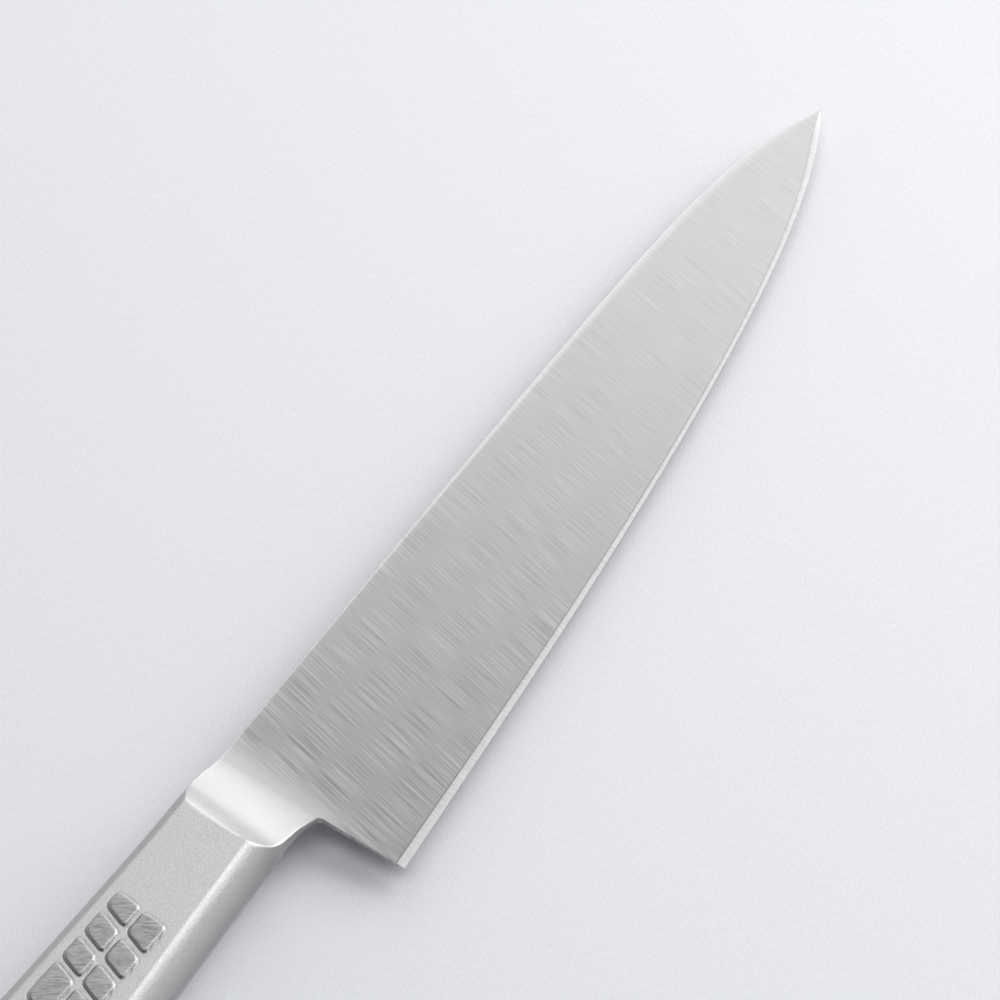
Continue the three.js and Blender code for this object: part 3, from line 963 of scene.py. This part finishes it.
def skinLines(counts):
    wall, corner, flat = counts
    lines = [(1, "wall", t) for t in np.linspace(0, 1, wall + 1)[:-1]]
    lines += [(1, "corner", t) for t in np.linspace(0, 1, corner + 1)[:-1]]
    lines += [(1, "flat", t) for t in np.linspace(0, 1, flat + 1)]
    lines += [(-1, "corner", t) for t in np.linspace(1, 0, corner + 1)[1:]]
    lines += [(-1, "wall", t) for t in np.linspace(1, 0, wall + 1)[1:]]
    return lines


def shellSkin(stations, counts, inset):
    padStart, padEnd = shellMesh["padZone"]
    ramp = shellMesh["shearRamp"]
    leaning = smoothStep(padStart + ramp - stations, 0, ramp)
    leaning *= smoothStep(stations, padEnd - ramp, padEnd)
    topY = gripPads["rowsMiddle"] + gripPads["rowHeight"]
    x = np.maximum(stations, inset - handleForm["length"])
    inPlate = stations > -bladeForm["neckPlateDepth"]
    lowZ = np.where(inPlate, 0.0, handleForm["seamHalf"])
    columns = []
    for side, part, t in skinLines(counts):
        y = handleLine(x, side, part, t, inset, lowZ)[:, 1]
        lean = gripPads["slant"] * np.clip(y - topY, -2 * gripPads["rowHeight"], 0)
        columns.append(handleLine(x + leaning * lean, side, part, t, inset, lowZ))
    skin = np.stack(columns, 1)
    # the butt closes over flat, down to the seam
    last = skin[-1]
    seamZ = last[0, 2]
    shares = np.linspace(0, 1, shellMesh["capSteps"])[1:]
    caps = [last * (1, 1, 1 - t) + (0, 0, seamZ * t) for t in shares]
    return np.concatenate([skin, caps])


def buildShell():
    stations = shellStations()
    outer = shellSkin(stations, outerColumns, 0)
    few = shellMesh["innerColumns"]
    inner = shellSkin(stations, (few, few, few), handleForm["sheet"])
    # inside the neck the sheet goes no further than the blade's mid-plane
    plate = inner[..., 0] > -bladeForm["neckPlateDepth"]
    inner[..., 2] = np.where(plate, np.maximum(inner[..., 2], 0), inner[..., 2])
    rows, wide = outer.shape[:2]
    narrow = inner.shape[1]
    points = np.concatenate([outer.reshape(-1, 3), inner.reshape(-1, 3)])
    start = rows * wide
    faces = gridQuads(rows, wide) + gridQuads(rows, narrow, start)
    for row in range(rows - 1):
        a, b = row * wide, start + row * narrow
        faces.append((a, a + wide, b + narrow, b))
        a, b = a + wide - 1, b + narrow - 1
        faces.append((a, b, b + narrow, a + wide))
    for row in (0, rows - 1):
        rim = [row * wide + k for k in range(wide)]
        faces.append(tuple(rim + [start + row * narrow + k for k in reversed(range(narrow))]))
    return makePiece("right_shell", points, faces)


def pressPads(shell):
    outlines = padOutlines()
    tree = pressTree(sheetSteel)
    press = shell.modifiers.new("grip pads", "NODES")
    press.node_group = tree
    sockets = {item.name: item.identifier for item in tree.interface.items_tree if item.in_out == "INPUT"}
    press[sockets["Pad Outlines"]] = outlines
    for name, size in padSizes.items():
        press[sockets[name]] = gripPads[size] * mm
    flatLevel = handleForm["thickness"] / 2 - gripPads["flatSlack"]
    press[sockets["Flat Level"]] = knifeShift.z + flatLevel * mm
    seen = shell.evaluated_get(bpy.context.evaluated_depsgraph_get())
    mesh = bpy.data.meshes.new_from_object(seen)
    shell.modifiers.clear()
    shell.data = mesh
    bpy.data.objects.remove(outlines)


shellRight = buildShell()
pressPads(shellRight)
shellLeft = mirroredPiece(shellRight, "left_shell")
dress(shellRight, "handle_shell_right", "handle_steel", sheetSteel)
dress(shellLeft, "handle_shell_left", "handle_steel", sheetSteel)
print("handle shells:", len(shellRight.data.polygons), "faces each")

weldMesh = {
    "stations": 3,      # too few for the hollow: two facets, up to 0.13 mm off its arc
    "depth": 0.05,      # of the neck's half height
}


# neck weld: the shell's own skin carried on from the lip until it has thinned out on the blade
def buildNeckWeld():
    stations = np.linspace(handleForm["neckLip"], handleForm["weldStart"], weldMesh["stations"])
    outer = np.stack([handleLine(stations, *line) for line in skinLines(outerColumns)], 1)
    inner = outer.copy()
    middle = (backLine(inner[..., 0]) + neckBellyY(inner[..., 0])) / 2
    inner[..., 1] = middle + (inner[..., 1] - middle) * (1 - weldMesh["depth"])
    inner[..., 2] = np.minimum(inner[..., 2], faceZ(inner[..., 0], inner[..., 1]))
    return closedBead("right_neck_weld", outer, inner)


weldRight = buildNeckWeld()
weldLeft = mirroredPiece(weldRight, "left_neck_weld")
dress(weldRight, "neck_weld_right", "weld_steel", weldSteel)
dress(weldLeft, "neck_weld_left", "weld_steel", weldSteel)

seamMesh = {"across": 5, "capSteps": 10}


# seam weld along the back or the belly, flush with both shells, to the middle of the butt
def buildSeam(name, side):
    stations = shellStations()
    inPlate = stations > -bladeForm["neckPlateDepth"]
    stations = stations[np.count_nonzero(inPlate) - 1:]
    half = np.full(len(stations), handleForm["seamHalf"])
    half[0] = 0
    across = np.linspace(-1, 1, seamMesh["across"])
    shares = np.linspace(0, 1, seamMesh["capSteps"])[1:]
    middleY = (handleForm["backHeights"][-1] + handleForm["bellyHeights"][-1]) / 2
    layers = []
    for inset in (0, handleForm["sheet"]):
        x = np.maximum(stations, inset - handleForm["length"])
        strip = np.stack([handleLine(x, side, "wall", 0, inset, share * half) for share in across], 1)
        end = strip[-1]
        caps = [end * (1, 1 - t, 1) + (0, middleY * t, 0) for t in shares]
        layers.append(np.concatenate([strip, caps]))
    return closedBead(name, *layers)


# ground flush and then blasted with the shells, the seams have the sheet's finish
seams = {"back_seam": ("spine_seam_weld", 1), "belly_seam": ("belly_seam_weld", -1)}
for seamName, (seamNode, seamSide) in seams.items():
    dress(buildSeam(seamName, seamSide), seamNode, "weld_steel", sheetSteel)
print("welds made")

# pale card that the knife lies on; it leans a little, so that the shadows fall as in the photograph
tableTop = {
    "size": 4000.0,
    "lean": math.radians(1.5),
    "roll": math.radians(6),
    "touch": (-27.45, -12.6),
    "colour": "#F8F9FD",
    "shade": "#EDEEF2",
    "fibreWidth": 0.25,
    "fibreLength": 0.9,
    "fibreTurn": math.radians(34),
    "bump": 0.1,
    "roughness": 0.9,
    "gloss": 0.2,
    "gap": 0.01,            # left free under the touching point
}


def cardPaper():
    material, tree, shader, spot = newMaterial("card_paper_matt")   # faint fibres, hardly any gloss
    width, length = tableTop["fibreWidth"], tableTop["fibreLength"]
    fibres = drawnMarks(tree, spot["Object"], -tableTop["fibreTurn"], length, width)
    colour = addNode(tree, "ShaderNodeMix", {
        "Factor": fibres,
        6: hexColour(tableTop["shade"]),
        7: hexColour(tableTop["colour"]),
    }, data_type="RGBA")
    bump = addNode(tree, "ShaderNodeBump", {
        "Strength": tableTop["bump"], "Distance": width * mm, "Height": fibres,
    })
    tree.links.new(colour.outputs[2], shader.inputs["Base Color"])
    tree.links.new(bump.outputs["Normal"], shader.inputs["Normal"])
    shader.inputs["Roughness"].default_value = tableTop["roughness"]
    shader.inputs["Specular IOR Level"].default_value = tableTop["gloss"]
    return material


def layTable():
    mesh = bpy.data.meshes.new("table_top")
    half = tableTop["size"] * mm / 2
    touch = inRow((*tableTop["touch"], 0))
    alongX, alongY = math.tan(tableTop["lean"]), -math.tan(tableTop["roll"])
    corners = []
    for x, y in ((-half, -half), (half, -half), (half, half), (-half, half)):
        z = alongX * (x - touch[0]) + alongY * (y - touch[1]) - tableTop["gap"] * mm
        corners.append((x, y, z))
    mesh.from_pydata(corners, [], [(0, 1, 2, 3)])
    mesh.materials.append(cardPaper())
    table = bpy.data.objects.new("table_top", mesh)
    scene.collection.objects.link(table)


layTable()

cameraView = {
    "from": (-273.8, -232.5, 573.4),
    "at": (59.1, -8.0, 0.0),
    "lens": 172.66,
    "sensor": 36.0,
    "clip": (0.01, 50),     # metres
}


def setCamera():
    data = bpy.data.cameras.new("camera")
    data.lens = cameraView["lens"]
    data.sensor_width = cameraView["sensor"]
    data.sensor_fit = "HORIZONTAL"
    data.clip_start, data.clip_end = cameraView["clip"]
    camera = bpy.data.objects.new("camera", data)
    scene.collection.objects.link(camera)
    start, end = Vector(inRow(cameraView["from"])), Vector(inRow(cameraView["at"]))
    camera.location = start
    camera.rotation_euler = (end - start).to_track_quat("-Z", "Y").to_euler()
    scene.camera = camera


setCamera()

# a wide soft box beyond the tip, a dimmer one past the spine, a weak one overhead,
# and a room that darkens upwards
studio = {
    "lookAt": (30.0, -10.0, 0.0),
    "boxDistance": 900.0,
    "boxes": {
        "soft_box_tip": {"turn": -27, "climb": 34, "size": (934.0, 808.0), "radiance": 3.24},
        "soft_box_spine": {"turn": 41, "climb": 34, "size": (613.0, 698.0), "radiance": 1.48},
        "soft_box_overhead": {"turn": 197, "climb": 85, "size": (1097.0, 464.0), "radiance": 1.65},
    },
    "roomLow": 1.11,
    "roomHigh": 0.05,
    "dimsBetween": (-0.2, 0.60),         # sine of the height where the room grows dark
    "paleSide": (0.8, 0.54, 0.0),       # the room is paler beyond the tip and the spine
}


def lightStudio():
    for name, box in studio["boxes"].items():
        width, height = (side * mm for side in box["size"])
        data = bpy.data.lights.new(name, "AREA")
        data.shape = "RECTANGLE"
        data.size, data.size_y = width, height
        data.energy = box["radiance"] * math.pi * width * height
        turn, climb = math.radians(box["turn"]), math.radians(box["climb"])
        flat = math.cos(climb)
        toward = Vector((flat * math.cos(turn), flat * math.sin(turn), math.sin(climb)))
        light = bpy.data.objects.new(name, data)
        light.location = Vector(inRow(studio["lookAt"])) + toward * studio["boxDistance"] * mm
        light.rotation_euler = toward.to_track_quat("Z", "Y").to_euler()
        scene.collection.objects.link(light)
    world = bpy.data.worlds.new("studio_room")
    scene.world = world
    world.use_nodes = True
    tree = world.node_tree
    way = addNode(tree, "ShaderNodeTexCoord").outputs["Generated"]
    up = addNode(tree, "ShaderNodeSeparateXYZ", {"Vector": way})
    level = addNode(tree, "ShaderNodeMapRange", {
        "Value": up.outputs["Z"],
        **spanFrom(studio["dimsBetween"]),
        "To Min": studio["roomLow"], "To Max": studio["roomHigh"],
    }, interpolation_type="SMOOTHSTEP")
    side = addNode(tree, "ShaderNodeVectorMath", {
        0: way, 1: studio["paleSide"],
    }, operation="DOT_PRODUCT")
    strength = addNode(tree, "ShaderNodeMath", {
        0: side.outputs["Value"], 1: level.outputs["Result"], 2: level.outputs["Result"],
    }, operation="MULTIPLY_ADD")
    tree.links.new(strength.outputs[0], tree.nodes["Background"].inputs["Strength"])
    tree.nodes["Background"].inputs["Color"].default_value = hexColour("#FFFFFF")


lightStudio()
print("stage, camera and light set")
